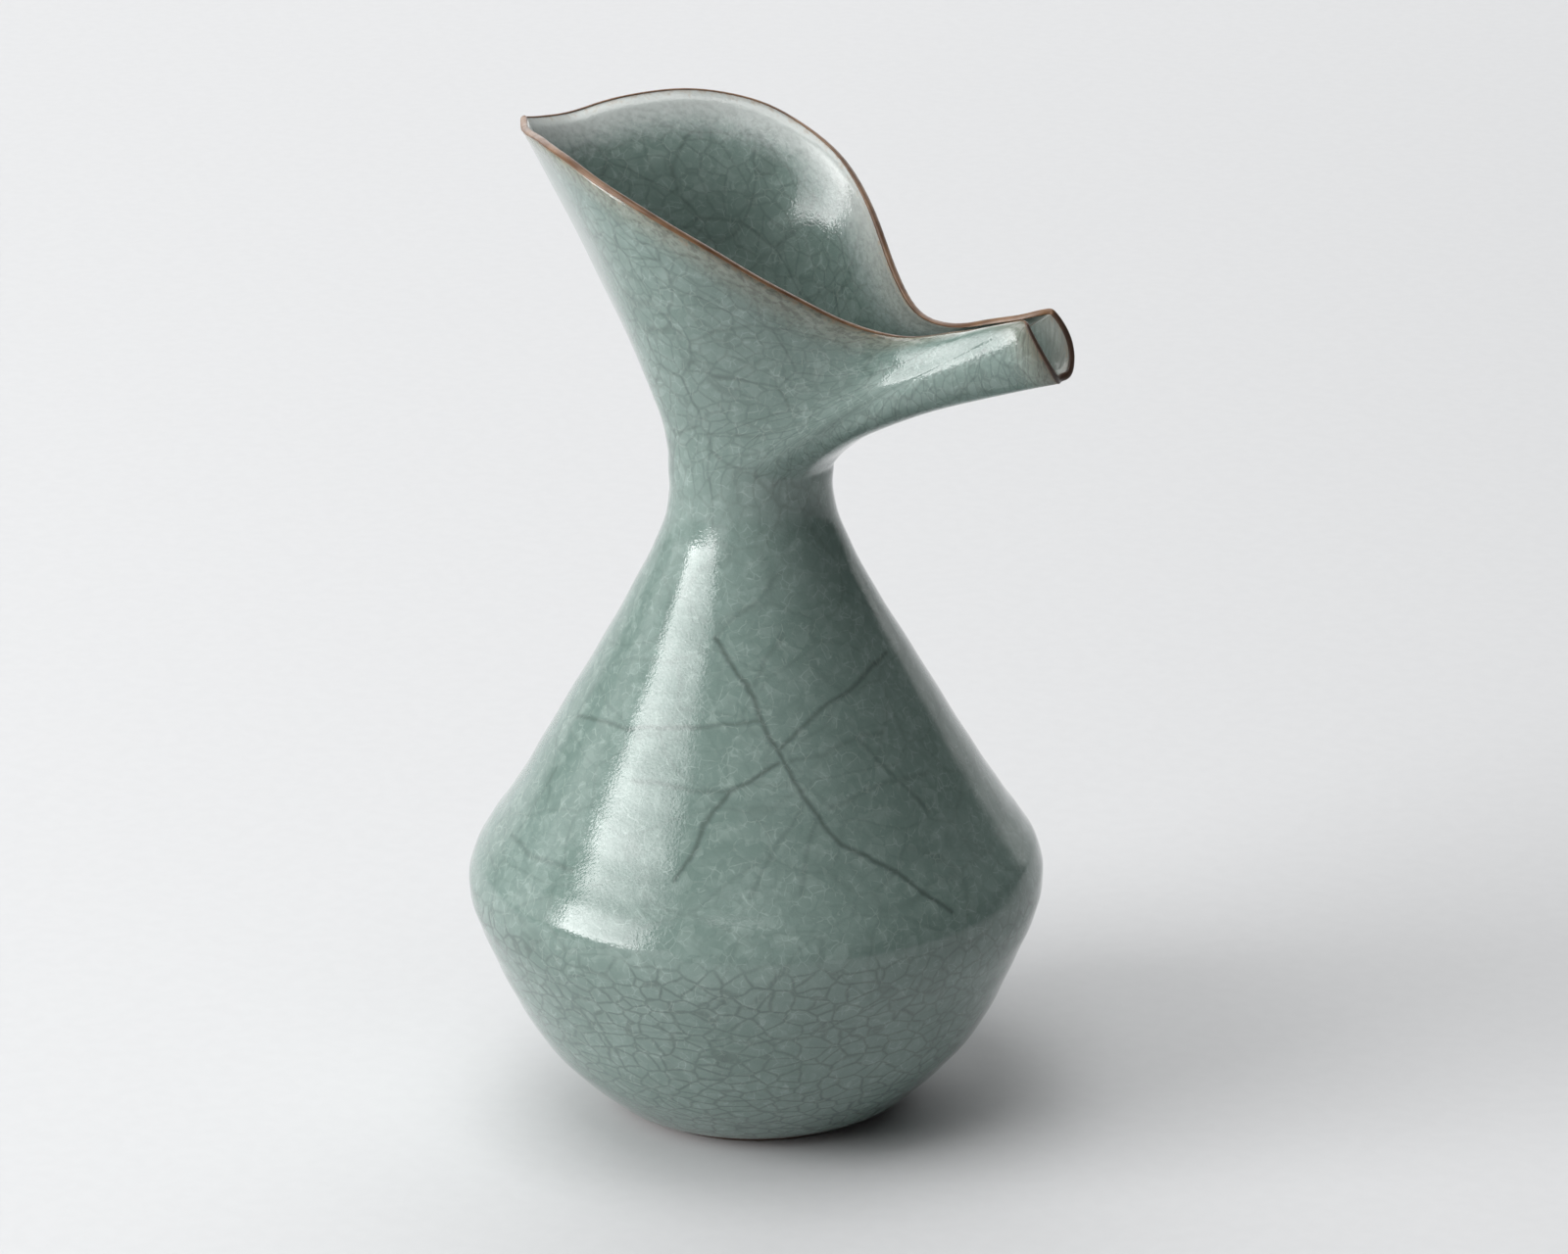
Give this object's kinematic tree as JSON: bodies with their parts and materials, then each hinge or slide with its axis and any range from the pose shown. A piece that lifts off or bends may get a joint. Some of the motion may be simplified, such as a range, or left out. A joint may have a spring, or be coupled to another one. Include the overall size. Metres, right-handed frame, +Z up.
{
  "type": "sake bottle",
  "caption": "Free-standing sake bottle with a rounded bowl, conical shoulder, narrow neck and an open leaf-shaped mouth that runs out into a rolled pouring spout.",
  "frame": {"origin": "middle of the overall box seen from above, on the table; the turning axis lies 4.9 mm behind it, towards -X", "axes": "+Z up, +X the way the spout pours, Y across the mouth"},
  "size_m": [0.1078, 0.098, 0.171],
  "materials": {
    "foot_clay": "bare, fired dark brown, matt",
    "body_clay": "grey stoneware under the glaze",
    "lip_clay": "iron brown where the glaze ran off",
    "celadon_glaze": "grey-green, glossy, crackled"
  },
  "bodies": {
    "root": {"foot_ring": "foot_clay", "lower_bowl": "body_clay", "shoulder_cone": "body_clay", "neck_collar": "body_clay", "flared_mouth": "body_clay", "pouring_spout": "body_clay", "lip_bead": "lip_clay", "outer_glaze": "celadon_glaze", "inner_glaze": "celadon_glaze"}
  },
  "joints": []
}
